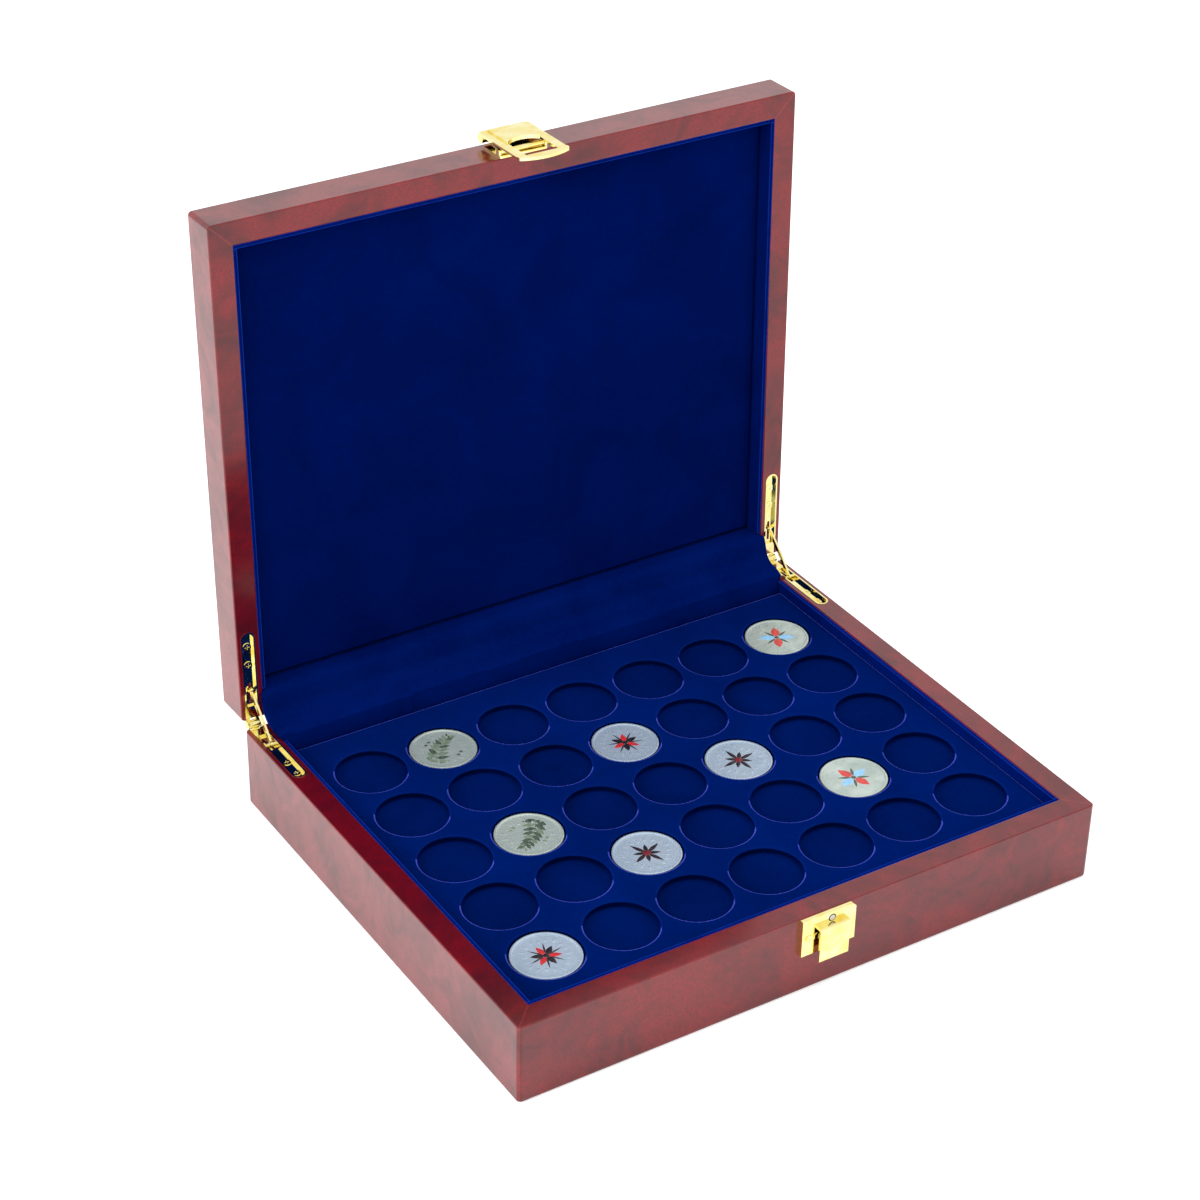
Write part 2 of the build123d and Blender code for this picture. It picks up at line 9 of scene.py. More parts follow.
import bmesh
import bpy
from mathutils import Matrix, Vector, noise


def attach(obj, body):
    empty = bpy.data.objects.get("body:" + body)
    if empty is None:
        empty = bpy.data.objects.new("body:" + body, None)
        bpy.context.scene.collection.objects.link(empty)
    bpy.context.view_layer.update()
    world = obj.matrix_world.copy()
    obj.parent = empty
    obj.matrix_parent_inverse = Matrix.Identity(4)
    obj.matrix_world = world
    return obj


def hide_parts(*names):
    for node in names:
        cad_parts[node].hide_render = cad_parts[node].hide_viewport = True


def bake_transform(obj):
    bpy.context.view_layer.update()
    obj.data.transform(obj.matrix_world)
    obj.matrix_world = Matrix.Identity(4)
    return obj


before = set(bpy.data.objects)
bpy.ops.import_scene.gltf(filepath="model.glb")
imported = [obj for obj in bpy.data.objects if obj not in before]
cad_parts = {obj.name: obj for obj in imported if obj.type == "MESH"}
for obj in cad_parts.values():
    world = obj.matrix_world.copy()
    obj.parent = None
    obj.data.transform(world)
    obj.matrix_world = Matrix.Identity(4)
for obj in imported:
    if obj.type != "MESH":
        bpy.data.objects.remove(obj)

LOG = logging.getLogger("coin_case")
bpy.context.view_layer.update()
WHITE = (1.0, 1.0, 1.0)
METAL, FIRST_PRINT, SECOND_PRINT, THIRD_PRINT = range(4)

Colour = tuple[float, float, float]
Point = tuple[float, float, float]
FlatPoint = tuple[float, float]
BMesh = bmesh.types.BMesh
Material = bpy.types.Material
Mesh = bpy.types.Mesh
Node = bpy.types.Node
NodeTree = bpy.types.NodeTree
Piece = bpy.types.Object
Socket = bpy.types.NodeSocket


def linear(red: int, green: int, blue: int) -> Colour:
    """Turn 8-bit display values into scene-linear colour.

    Args:
        red: Red from 0 to 255.
        green: Green from 0 to 255.
        blue: Blue from 0 to 255.

    Returns:
        The three linear values.
    """
    def channel(value: int) -> float:
        """Linear value of one channel."""
        share = value / 255
        return share / 12.92 if share <= 0.04045 else ((share + 0.055) / 1.055) ** 2.4

    return channel(red), channel(green), channel(blue)


# ---- shader trees


class Graph:
    """A node tree under construction."""

    def __init__(self, tree: NodeTree) -> None:
        """Keep the tree that nodes are added to."""
        self.tree = tree

    def add(self, kind: str, inputs: dict[Any, Any] | None = None, **settings: Any) -> Node:
        """Add one node and fill its inputs.

        Args:
            kind: Blender's node type name.
            inputs: Input name or index to a value, a colour or an output socket.
            **settings: Properties of the node itself.

        Returns:
            The new node.
        """
        node = self.tree.nodes.new(kind)
        for name, value in settings.items():
            setattr(node, name, value)
        self.fill(node, inputs or {})
        return node

    def fill(self, node: Node, inputs: dict[Any, Any]) -> None:
        """Fill a node's inputs, each given by its name or index."""
        for key, value in inputs.items():
            self.feed(node.inputs[key], value)

    def feed(self, socket: Socket, value: Any) -> None:
        """Link an output to a socket, or set the socket's own value.

        Args:
            socket: The socket to feed.
            value: An output socket, a plain value, or a colour, which gets full alpha.
        """
        if isinstance(value, Socket):
            self.tree.links.new(value, socket)
        elif socket.type == "RGBA":
            socket.default_value = (*value, 1.0)
        else:
            socket.default_value = value

    def math(self, operation: str, first: Any, second: Any = 0.0) -> Socket:
        """Result of a two-value math node."""
        return self.add("ShaderNodeMath", {0: first, 1: second}, operation=operation).outputs[0]

    def times(self, first: Any, second: Any) -> Socket:
        """Product of two values."""
        return self.math("MULTIPLY", first, second)

    def span(self, value: Any, low: float, high: float, to_low: float = 0.0, to_high: float = 1.0) -> Socket:
        """Value carried from one range to another and held inside it."""
        inputs = {"Value": value, "From Min": low, "From Max": high, "To Min": to_low, "To Max": to_high}
        return self.add("ShaderNodeMapRange", inputs).outputs["Result"]

    def blend(self, share: Any, first: Any, second: Any) -> Socket:
        """Mix two colours.

        Args:
            share: Share of the second colour.
            first: Colour where the share is 0.
            second: Colour where the share is 1.

        Returns:
            The mixed colour.
        """
        node = self.add("ShaderNodeMix", data_type="RGBA")
        colours = [socket for socket in node.inputs if socket.type == "RGBA"]
        self.feed(node.inputs[0], share)
        self.feed(colours[0], first)
        self.feed(colours[1], second)
        return next(socket for socket in node.outputs if socket.type == "RGBA")

    def noise(self, where: Any, scale: Any, detail: float = 3.0, distortion: float = 0.0) -> Socket:
        """Plain noise value at a place."""
        inputs = {"Vector": where, "Scale": scale, "Detail": detail, "Distortion": distortion}
        return self.add("ShaderNodeTexNoise", inputs).outputs["Fac"]

    def bumped(self, height: Any, strength: float, distance: float) -> Socket:
        """Normal shaken by a height."""
        inputs = {"Height": height, "Strength": strength, "Distance": distance}
        return self.add("ShaderNodeBump", inputs).outputs["Normal"]

    def place(self) -> Socket:
        """Place on the piece itself, which stays with it as it moves."""
        return self.add("ShaderNodeTexCoord").outputs["Object"]

    def found(self, kind: str) -> Node:
        """The node of a type that the tree starts with."""
        return next(node for node in self.tree.nodes if node.type == kind)


class SharedEffect(Enum):
    """Surface effects that finishes draw on, each a shader node group."""

    SMOKE = "smoky_figure"
    EDGE_HIGHLIGHT = "edge_highlight_mask"
    NAP = "velvet_nap"
    HANDLING = "handling_marks"

    def tree(self) -> NodeTree:
        """The effect's node group, built the first time."""
        found = bpy.data.node_groups.get(self.value)
        return found or {
            SharedEffect.SMOKE: build_smoke,
            SharedEffect.EDGE_HIGHLIGHT: build_edge_highlight,
            SharedEffect.NAP: build_nap,
            SharedEffect.HANDLING: build_handling,
        }[self]()

    def place(self, graph: Graph, **values: Any) -> Any:
        """Outputs of the effect, placed in a material with its inputs by name."""
        return graph.add("ShaderNodeGroup", values, node_tree=self.tree()).outputs


def new_group(
    effect: SharedEffect, inputs: dict[str, float | None], outputs: Sequence[str]
) -> tuple[Graph, Node, Node]:
    """Start an effect's shader node group with named sockets.

    Args:
        effect: The effect, whose value names the group.
        inputs: Name of each input and its default, or None for a place.
        outputs: Name of each output, all of them plain values.

    Returns:
        The graph with its input and output nodes.
    """
    tree = bpy.data.node_groups.new(effect.value, "ShaderNodeTree")
    for label, default in inputs.items():
        kind = "NodeSocketVector" if default is None else "NodeSocketFloat"
        socket = tree.interface.new_socket(name=label, in_out="INPUT", socket_type=kind)
        if default is not None:
            socket.default_value = default
    for label in outputs:
        tree.interface.new_socket(name=label, in_out="OUTPUT", socket_type="NodeSocketFloat")
    graph = Graph(tree)
    return graph, graph.add("NodeGroupInput"), graph.add("NodeGroupOutput")


def build_smoke() -> NodeTree:
    """Build the dark smoky figure of the lacquer.

    Returns:
        The group, which gives a cloud mask, a fleck mask and a height.
    """
    graph, start, end = new_group(
        SharedEffect.SMOKE, {"Place": None, "Scale": 1.0}, ["Cloud", "Fleck", "Height"]
    )
    where, scale = start.outputs["Place"], start.outputs["Scale"]
    broad = graph.noise(where, graph.times(scale, 14.0), detail=4.0, distortion=2.2)
    swirl = graph.noise(where, graph.times(scale, 34.0), detail=5.0, distortion=3.4)
    cloud = graph.math("ADD", graph.times(broad, 0.6), graph.times(swirl, 0.4))
    fleck = graph.noise(where, graph.times(scale, 1500.0), detail=2.0)
    orange_peel = graph.noise(where, graph.times(scale, 260.0), detail=2.0)
    graph.fill(end, {
        "Cloud": graph.span(cloud, low=0.42, high=0.64),
        "Fleck": graph.span(fleck, low=0.38, high=0.62),
        "Height": orange_peel,
    })
    return graph.tree


def build_edge_highlight() -> NodeTree:
    """Build the mask of edges that carry a painted highlight, broken up along their length.

    Returns:
        The group, which gives a mask that is high along edges.
    """
    graph, start, end = new_group(SharedEffect.EDGE_HIGHLIGHT, {"Place": None, "Breaks": 160.0, "Reach": 1.0}, ["Edge"])
    # Edges where the bevel normal turns from the face normal get the painted highlight.
    rounded = graph.add("ShaderNodeBevel", {"Radius": 0.0009}, samples=4).outputs[0]
    plain = graph.add("ShaderNodeNewGeometry").outputs["Normal"]
    facing = graph.add("ShaderNodeVectorMath", {0: rounded, 1: plain}, operation="DOT_PRODUCT")
    edge = graph.span(facing.outputs["Value"], low=0.995, high=0.86)
    breaks = graph.noise(start.outputs["Place"], start.outputs["Breaks"])
    broken = graph.span(breaks, low=0.3, high=0.6, to_low=0.35)
    graph.fill(end, {"Edge": graph.times(graph.times(edge, broken), start.outputs["Reach"])})
    return graph.tree


def build_nap() -> NodeTree:
    """Build the lie of a velvet's pile.

    Returns:
        The group, which gives a shade of the pile and its height.
    """
    graph, start, end = new_group(SharedEffect.NAP, {"Place": None, "Pile": 2600.0}, ["Shade", "Height"])
    where = start.outputs["Place"]
    brushed = graph.noise(where, scale=22.0, distortion=0.8)
    tufts = graph.noise(where, scale=420.0, detail=2.0)
    pile = graph.noise(where, start.outputs["Pile"], detail=1.0)
    shade = graph.math("ADD", graph.times(brushed, 0.5), graph.times(tufts, 0.2))
    shade = graph.math("ADD", shade, graph.times(pile, 0.3))
    graph.fill(end, {
        "Shade": graph.span(shade, low=0.33, high=0.67),
        "Height": graph.math("ADD", pile, tufts),
    })
    return graph.tree


def build_handling() -> NodeTree:
    """Build the faint smears and scratches of handled metal.

    Returns:
        The group, which gives a smear mask and a scratch height.
    """
    graph, start, end = new_group(
        SharedEffect.HANDLING, {"Place": None, "Smears": 120.0}, ["Smear", "Height"]
    )
    where = start.outputs["Place"]
    smear = graph.noise(where, start.outputs["Smears"], distortion=0.6)
    stretched = graph.add("ShaderNodeMapping", {"Vector": where, "Scale": (1.0, 22.0, 9.0)}).outputs[0]
    graph.fill(end, {
        "Smear": graph.span(smear, low=0.3, high=0.7),
        "Height": graph.noise(stretched, scale=320.0, detail=2.0),
    })
    return graph.tree


# ---- finishes


class Finish:
    """A named surface, built once as a material."""

    name: str
    roughness_low: float
    roughness_high: float

    def make(self) -> Material:
        """Build the finish's material.

        Returns:
            The material.
        """
        material = bpy.data.materials.new(self.name)
        material.use_nodes = True
        graph = Graph(material.node_tree)
        graph.fill(graph.found("BSDF_PRINCIPLED"), self.inputs(graph))
        return material

    def inputs(self, graph: Graph) -> dict[str, Any]:
        """Inputs of the material's shader, by name."""
        raise NotImplementedError

    def roughness(self, graph: Graph, mask: Socket, low: float = 0.0, high: float = 1.0) -> Socket:
        """Roughness that follows a mask."""
        return graph.span(mask, low, high, self.roughness_low, self.roughness_high)


@dataclass(frozen=True)
class LacquerFinish(Finish):
    """Red-brown lacquer with a smoky figure under a satin clear coat."""

    name: str = "smoky_red_lacquer"
    body: Colour = linear(132, 12, 20)
    smoke: Colour = linear(86, 8, 16)
    fleck: Colour = linear(78, 10, 18)
    fleck_share: float = 0.6
    # Painted highlight colour along the lacquer's edges.
    edge_highlight: Colour = linear(176, 62, 58)
    edge_reach: float = 0.5
    figure_scale: float = 1.0
    roughness_low: float = 0.3
    roughness_high: float = 0.42
    under_gloss: float = 0.15
    lustre: float = 0.42
    coat_weight: float = 1.0
    coat_roughness: float = 0.14

    def inputs(self, graph: Graph) -> dict[str, Any]:
        """Lay the smoke, the flecks and a painted highlight along the edges over the body colour.

        Args:
            graph: The material's node tree.

        Returns:
            Inputs of the material's shader, by name.
        """
        place = graph.place()
        figure = SharedEffect.SMOKE.place(graph, Place=place, Scale=self.figure_scale)
        lit_edges = SharedEffect.EDGE_HIGHLIGHT.place(graph, Place=place, Reach=self.edge_reach)
        colour = graph.blend(figure["Cloud"], self.body, self.smoke)
        colour = graph.blend(graph.times(figure["Fleck"], self.fleck_share), colour, self.fleck)
        return {
            "Base Color": graph.blend(lit_edges["Edge"], colour, self.edge_highlight),
            "Roughness": self.roughness(graph, figure["Cloud"]),
            "Normal": graph.bumped(figure["Height"], strength=0.05, distance=0.0002),
            "Specular IOR Level": self.under_gloss,
            "Metallic": self.lustre,
            "Coat Weight": self.coat_weight,
            "Coat Roughness": self.coat_roughness,
        }


@dataclass(frozen=True)
class VelvetFinish(Finish):
    """Deep velvet whose pile shades where it is brushed."""

    name: str = "navy_velvet"
    deep: Colour = linear(0, 13, 72)
    lifted: Colour = linear(0, 23, 96)
    # Painted highlight colour along the velvet's edges.
    edge_highlight: Colour = linear(20, 50, 150)
    edge_breaks: float = 90.0
    edge_reach: float = 0.8
    roughness_low: float = 0.85
    roughness_high: float = 1.0
    sheen_weight: float = 0.35
    sheen_roughness: float = 0.4
    sheen_tint: Colour = linear(10, 50, 200)
    pile_scale: float = 2600.0
    pile_bump: float = 0.35

    def inputs(self, graph: Graph) -> dict[str, Any]:
        """Shade the pile and paint a highlight along the edges.

        Args:
            graph: The material's node tree.

        Returns:
            Inputs of the material's shader, by name.
        """
        place = graph.place()
        nap = SharedEffect.NAP.place(graph, Place=place, Pile=self.pile_scale)
        lit_edges = SharedEffect.EDGE_HIGHLIGHT.place(graph, Place=place, Breaks=self.edge_breaks, Reach=self.edge_reach)
        colour = graph.blend(nap["Shade"], self.deep, self.lifted)
        return {
            "Base Color": graph.blend(lit_edges["Edge"], colour, self.edge_highlight),
            "Roughness": self.roughness(graph, nap["Shade"]),
            "Normal": graph.bumped(nap["Height"], self.pile_bump, distance=0.0002),
            "Specular IOR Level": 0.0,
            "Sheen Weight": self.sheen_weight,
            "Sheen Roughness": self.sheen_roughness,
            "Sheen Tint": self.sheen_tint,
        }


@dataclass(frozen=True)
class MarkedFinish(Finish):
    """Two shades with the smears and scratches of handling."""

    name: str
    colour: Colour
    smeared: Colour
    metallic: float = 0.0
    smears: float = 700.0
    roughness_low: float = 0.25
    roughness_high: float = 0.45
    bump: float = 0.2
    bump_depth: float = 0.0001

    def inputs(self, graph: Graph) -> dict[str, Any]:
        """Smear the colour and the gloss, and raise the surface.

        Args:
            graph: The material's node tree.

        Returns:
            Inputs of the material's shader, by name.
        """
        marks = SharedEffect.HANDLING.place(graph, Place=graph.place(), Smears=self.smears)
        return {
            "Base Color": graph.blend(marks["Smear"], self.colour, self.smeared),
            "Roughness": self.roughness(graph, marks["Smear"]),
            "Normal": graph.bumped(self.height(graph, marks["Height"]), self.bump, self.bump_depth),
            "Metallic": self.metallic,
        }

    def height(self, graph: Graph, scratches: Socket) -> Socket:
        """Height of the surface, here only its scratches."""
        return scratches


@dataclass(frozen=True)
class CoinFinish(MarkedFinish):
    """Struck coin metal with a bead ring and faint turned lines in the field."""

    metallic: float = 0.55
    smears: float = 90.0
    roughness_low: float = 0.3
    roughness_high: float = 0.5
    bump: float = 0.7
    bump_depth: float = 0.00012
    bead_count: float = 84.0
    bead_radius: float = 0.445
    bead_width: float = 0.018
    turned_lines: float = 520.0
    turned_rays: float = 36.0
    turned_height: float = 0.12
    scratch_height: float = 0.25

    def height(self, graph: Graph, scratches: Socket) -> Socket:
        """Raise the bead ring and the turned lines over the scratches.

        Args:
            graph: The material's node tree.
            scratches: Height of the scratches.

        Returns:
            The height of the coin's face.
        """
        face = graph.add("ShaderNodeTexCoord").outputs["UV"]
        parts = graph.add("ShaderNodeSeparateXYZ", {0: face}).outputs
        across = graph.math("SUBTRACT", parts[0], 0.5)
        along = graph.math("SUBTRACT", parts[1], 0.5)
        squares = graph.math("ADD", graph.times(across, across), graph.times(along, along))
        radius = graph.math("POWER", squares, 0.5)
        turn = graph.math("ARCTAN2", along, across)
        bead = graph.math("ABSOLUTE", graph.math("SINE", graph.times(turn, self.bead_count / 2)))
        away = graph.math("ABSOLUTE", graph.math("SUBTRACT", radius, self.bead_radius))
        ring = graph.span(away, self.bead_width, self.bead_width / 3)
        rays = graph.math("SINE", graph.times(turn, self.turned_rays))
        turned = graph.math("SINE", graph.math("ADD", graph.times(radius, self.turned_lines), rays))
        struck = graph.math("ADD", graph.times(bead, ring), graph.times(turned, self.turned_height))
        return graph.math("ADD", struck, graph.times(scratches, self.scratch_height))


@dataclass(frozen=True)
class FibreFinish(Finish):
    """Bare card or sawn wood on the hidden boards."""

    name: str
    light: Colour
    dark: Colour
    stretch: Point
    grain_scale: float = 90.0
    fibre_scale: float = 900.0
    roughness_low: float = 0.7
    roughness_high: float = 0.95

    def inputs(self, graph: Graph) -> dict[str, Any]:
        """Draw the grain and the fibres along the board.

        Args:
            graph: The material's node tree.

        Returns:
            Inputs of the material's shader, by name.
        """
        place = graph.add("ShaderNodeMapping", {"Vector": graph.place(), "Scale": self.stretch}).outputs[0]
        grain = graph.span(graph.noise(place, self.grain_scale, 5.0, 0.7), low=0.35, high=0.65)
        fibre = graph.noise(place, self.fibre_scale, 2.0)
        return {
            "Base Color": graph.blend(grain, self.light, self.dark),
            "Roughness": self.roughness(graph, fibre, low=0.3, high=0.7),
            "Normal": graph.bumped(fibre, strength=0.3, distance=0.0002),
        }


@dataclass(frozen=True)
class StudioFloorFinish(Finish):
    """White floor that keeps the case's soft shadow."""

    name: str = "white_floor"
    paint: Colour = (0.93, 0.93, 0.93)
    dullness: float = 0.9
    seen_light: float = 0.28

    def inputs(self, graph: Graph) -> dict[str, Any]:
        """Light the floor for the camera alone, and paint it.

        Args:
            graph: The material's node tree.

        Returns:
            Inputs of the material's shader, by name.
        """
        rays = graph.add("ShaderNodeLightPath").outputs
        glow = graph.times(rays["Is Camera Ray"], self.seen_light)
        lit = graph.add("ShaderNodeEmission", {"Color": WHITE, "Strength": glow})
        painted = graph.found("BSDF_PRINCIPLED")
        both = graph.add("ShaderNodeAddShader", {0: painted.outputs[0], 1: lit.outputs[0]})
        graph.fill(graph.found("OUTPUT_MATERIAL"), {"Surface": both.outputs[0]})
        return {"Base Color": self.paint, "Roughness": self.dullness, "Specular IOR Level": 0.0}


# ---- helpers


def dress(node: str, material: Material) -> None:
    """Give a CAD node its finish.

    Args:
        node: Name of the CAD node.
        material: Its finish.
    """
    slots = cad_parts[node].data.materials
    slots.clear()
    slots.append(material)


def dress_all(nodes: Sequence[str], material: Material) -> None:
    """Give several CAD nodes one finish and report them.

    Args:
        nodes: Names of the CAD nodes.
        material: Their finish.
    """
    for node in nodes:
        dress(node, material)
    LOG.info("%s on %s", material.name, ", ".join(nodes))


def nodes_named(*parts: str) -> list[str]:
    """CAD nodes whose names hold any of some words."""
    return sorted(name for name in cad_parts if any(part in name for part in parts))


def soften_edges(node: str, width: float, sharpest: float = 40.0) -> None:
    """Round a CAD node's sharp edges with a narrow bevel.

    Args:
        node: Name of the CAD node.
        width: Width of the bevel in metres.
        sharpest: Least angle in degrees between the faces of a rounded edge.
    """
    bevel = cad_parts[node].modifiers.new("soft_edges", "BEVEL")
    bevel.width = width
    bevel.segments = 2
    bevel.limit_method = "ANGLE"
    bevel.angle_limit = math.radians(sharpest)
    bevel.harden_normals = False


def add_piece(name: str, mesh: Mesh, materials: Sequence[Material]) -> Piece:
    """Put a mesh in the scene as a piece of the object.

    Args:
        name: Name of the piece.
        mesh: Its mesh, in metres in the common frame.
        materials: Its materials in slot order.

    Returns:
        The new object.
    """
    piece = bpy.data.objects.new(name, mesh)
    bpy.context.scene.collection.objects.link(piece)
    for material in materials:
        mesh.materials.append(material)
    return piece


def mesh_from(build: BMesh, name: str, outward: bool = True) -> Mesh:
    """Finish a bmesh into a smoothly shaded mesh.

    Args:
        build: The bmesh, which is freed.
        name: Name of the mesh.
        outward: Turn its faces outward first.

    Returns:
        The mesh.
    """
    if outward:
        bmesh.ops.recalc_face_normals(build, faces=build.faces)
    for face in build.faces:
        face.smooth = True
    mesh = bpy.data.meshes.new(name)
    build.to_mesh(mesh)
    build.free()
    return mesh


def skin(build: BMesh, rows: Sequence[Any], closed: bool = False, slot: int = 0, flip: bool = False) -> None:
    """Join rows of vertices with four-sided faces.

    Args:
        build: The mesh under construction.
        rows: Rows of vertices, all of one length.
        closed: Join each row's end to its start.
        slot: Material slot of the faces.
        flip: Turn the faces the other way.
    """
    count = len(rows[0])
    for first, second in zip(rows, rows[1:]):
        for index in range(count if closed else count - 1):
            after = (index + 1) % count
            corners = [first[index], first[after], second[after], second[index]]
            if flip:
                corners = [corners[0], *corners[:0:-1]]
            build.faces.new(corners).material_index = slot


def smooth_path(points: Sequence[FlatPoint], steps: int) -> list[FlatPoint]:
    """Round a run of points into a smooth line through them.

    Args:
        points: Points of the line.
        steps: Number of steps between each two points.

    Returns:
        The finer line.
    """
    line = []
    last = len(points) - 1
    for index in range(last):
        ends = [Vector(points[min(max(index + shift, 0), last)]) for shift in (-1, 0, 1, 2)]
        for step in range(steps):
            t = step / steps
            near = 2 * ends[1] + (ends[2] - ends[0]) * t
            far = (2 * ends[0] - 5 * ends[1] + 4 * ends[2] - ends[3]) * t * t
            turn = (3 * ends[1] - ends[0] - 3 * ends[2] + ends[3]) * t ** 3
            line.append(tuple((near + far + turn) / 2))
    return line + [tuple(points[last])]


# ---- the case box


@dataclass
class WoodenCase:
    """Base box and lid of lacquered wood."""

    finish: LacquerFinish = LacquerFinish()
    hidden_wood: FibreFinish = FibreFinish(
        "sawn_strips", linear(196, 160, 112), linear(160, 122, 78), stretch=(1.0, 0.08, 1.0)
    )
    card: FibreFinish = FibreFinish(
        "bare_card", linear(150, 142, 130), linear(128, 118, 106), stretch=(1.0, 1.0, 1.0)
    )

    def dress(self) -> None:
        """Dress the walls, the panels and the hidden boards."""
        wood = nodes_named("_wall", "base_bottom_panel", "lid_top_panel")
        dress_all(wood, self.finish.make())
        dress_all(["tray_support_strips"], self.hidden_wood.make())
        dress_all(["lid_padding_board"], self.card.make())


@dataclass
class VelvetLining:
    """Liner boards, lid panel and padded hinge strip in velvet."""

    lid_velvet: VelvetFinish = VelvetFinish(
        "lid_velvet", linear(0, 11, 64), linear(0, 18, 84), sheen_weight=0.25
    )
    # Dark velvet that paints the soft shadow along the panel's hinge edge.
    crease_shadow_velvet: VelvetFinish = VelvetFinish(
        "crease_shadow_velvet", linear(0, 3, 26), linear(0, 6, 40), sheen_weight=0.0
    )
    # Stronger painted highlight along the liners' top edges.
    liner_velvet: VelvetFinish = VelvetFinish("liner_velvet", edge_reach=1.6)
    strip_velvet: VelvetFinish = VelvetFinish("strip_velvet", linear(0, 12, 68), linear(0, 23, 92))
    # Darker copy of the strip velvet, painted shade on the strip's lower part.
    valley_shade_velvet: VelvetFinish = VelvetFinish("valley_shade_velvet", linear(0, 9, 58), linear(0, 18, 82))
    liner_edge: float = 0.0004
    hinge_line: FlatPoint = (0.1275, 0.04075)
    open_angle: float = 91.5
    panel_half_width: float = 0.1389
    panel_front: float = -0.1114
    panel_back: float = 0.1105
    panel_surface: float = 0.0495
    panel_thickness: float = 0.002
    panel_edge_roll: float = 0.0022
    panel_edge_sink: float = 0.7
    panel_columns: int = 96
    panel_rows: int = 80
    panel_crowding: float = 0.92
    panel_wave: float = 0.00012
    panel_wave_scale: float = 30.0
    shadow_band_reach: float = 0.0013
    strip_line: tuple[FlatPoint, ...] = (
        (0.1068, 0.0320), (0.1074, 0.0366), (0.1106, 0.0406), (0.1154, 0.0426), (0.1204, 0.0436),
        (0.1240, 0.0466), (0.1258, 0.0512), (0.1273, 0.0548), (0.1301, 0.0564), (0.1337, 0.0566),
        (0.1395, 0.0558),
    )
    strip_line_steps: int = 6
    strip_thickness: float = 0.0016
    strip_thinnest: float = 0.2
    strip_end_power: int = 12
    strip_half_length: float = 0.1386
    strip_wall_half_length: float = 0.1412
    strip_wide_half_length: float = 0.1425
    strip_wall_from: float = 0.1087
    strip_wide_from: float = 0.0407
    strip_wide_back: float = 0.1282
    strip_step: float = 0.0008
    strip_columns: int = 120
    strip_wave: float = 0.00022
    strip_wave_scale: FlatPoint = (26.0, 40.0)
    valley_shade_reach: float = 0.0415

    def swung(self, x: float, y: float, z: float) -> Vector:
        """Swing a point of the shut lid to where it stands with the lid open.

        Args:
            x: Place across the lid.
            y: Place along it, with the lid shut.
            z: Height, with the lid shut.

        Returns:
            The point with the lid open.
        """
        turn = math.radians(self.open_angle)
        back = y - self.hinge_line[0]
        up = z - self.hinge_line[1]
        return Vector((
            x,
            self.hinge_line[0] + back * math.cos(turn) + up * math.sin(turn),
            self.hinge_line[1] - back * math.sin(turn) + up * math.cos(turn),
        ))

    def build_lid_panel(self) -> Piece:
        """Build the lid's velvet panel with three rolled edges, a faint wave and a painted shadow band along
        its hinge edge.

        Returns:
            The panel, which rides on the lid.
        """
        build = bmesh.new()
        skin(build, [
            [self.panel_vertex(build, row, column) for column in range(self.panel_columns + 1)]
            for row in range(self.panel_rows + 1)
        ])
        back = bmesh.ops.extrude_face_region(build, geom=list(build.faces))
        normal = (self.swung(0, 0, self.panel_thickness) - self.swung(0, 0, 0)).normalized()
        rear = self.panel_surface + self.panel_thickness
        for item in back["geom"]:
            if isinstance(item, bmesh.types.BMVert):
                item.co += normal * normal.dot(self.swung(0, 0, rear) - item.co)
        # Faces near the hinge edge take the dark velvet as a painted shadow.
        shadow_line = self.swung(0, self.panel_back - self.shadow_band_reach, rear).z
        for face in build.faces:
            face.material_index = int(face.calc_center_median().z < shadow_line)
        looks = [self.lid_velvet.make(), self.crease_shadow_velvet.make()]
        panel = add_piece("lid_velvet_panel", mesh_from(build, "lid_velvet_panel"), looks)
        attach(panel, "lid")
        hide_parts("lid_lining_panel")
        LOG.info("built %s", panel.name)
        return panel

    def panel_vertex(self, build: BMesh, row: int, column: int) -> bmesh.types.BMVert:
        """Add one point of the panel's face.

        Args:
            build: The panel's mesh.
            row: Row of the point, from the lid's front edge.
            column: Column of the point, from the left.

        Returns:
            The new vertex, with the lid open.
        """
        x = self.panel_half_width * (2 * self.crowded(column / self.panel_columns) - 1)
        y = self.panel_front + (self.panel_back - self.panel_front) * self.crowded(row / self.panel_rows)
        inset = min(self.panel_half_width - abs(x), y - self.panel_front)
        roll = max(0.0, 1 - inset / self.panel_edge_roll)
        sink = self.panel_edge_roll * (1 - math.sqrt(max(0.0, 1 - roll * roll))) * self.panel_edge_sink
        ripple = noise.noise(Vector((x * self.panel_wave_scale, y * self.panel_wave_scale, 0.3)))
        wave = (1 - roll) * self.panel_wave * (1 + ripple)
        return build.verts.new(self.swung(x, y, self.panel_surface + wave + sink))

    def crowded(self, share: float) -> float:
        """Share along an edge, with finer steps near both ends."""
        return share - self.panel_crowding * math.sin(2 * math.pi * share) / (2 * math.pi)

    def build_hinge_strip(self) -> Piece:
        """Build the padded strip that covers both back rims, with painted shade on its lower part.

        Returns:
            The strip, which runs from the base's back rim into the open lid.
        """
        loop = self.strip_section(smooth_path(self.strip_line, self.strip_line_steps))
        across, along = self.strip_wave_scale
        build = bmesh.new()
        rings = []
        for column in range(self.strip_columns + 1):
            share = 2 * column / self.strip_columns - 1
            ring = []
            for y, z, lift in loop:
                x = share * self.half_length(z, y)
                sway = noise.noise(Vector((x * across, y * along, z * along))) * self.strip_wave * lift
                ring.append(build.verts.new((x, y - sway, z + sway)))
            rings.append(ring)
        skin(build, rings, closed=True)
        count = len(loop)
        for ring in (rings[0], rings[-1]):
            for index in range(count // 2 - 1):
                far = count - 1 - index
                build.faces.new((ring[index], ring[index + 1], ring[far - 1], ring[far]))
        for face in build.faces:
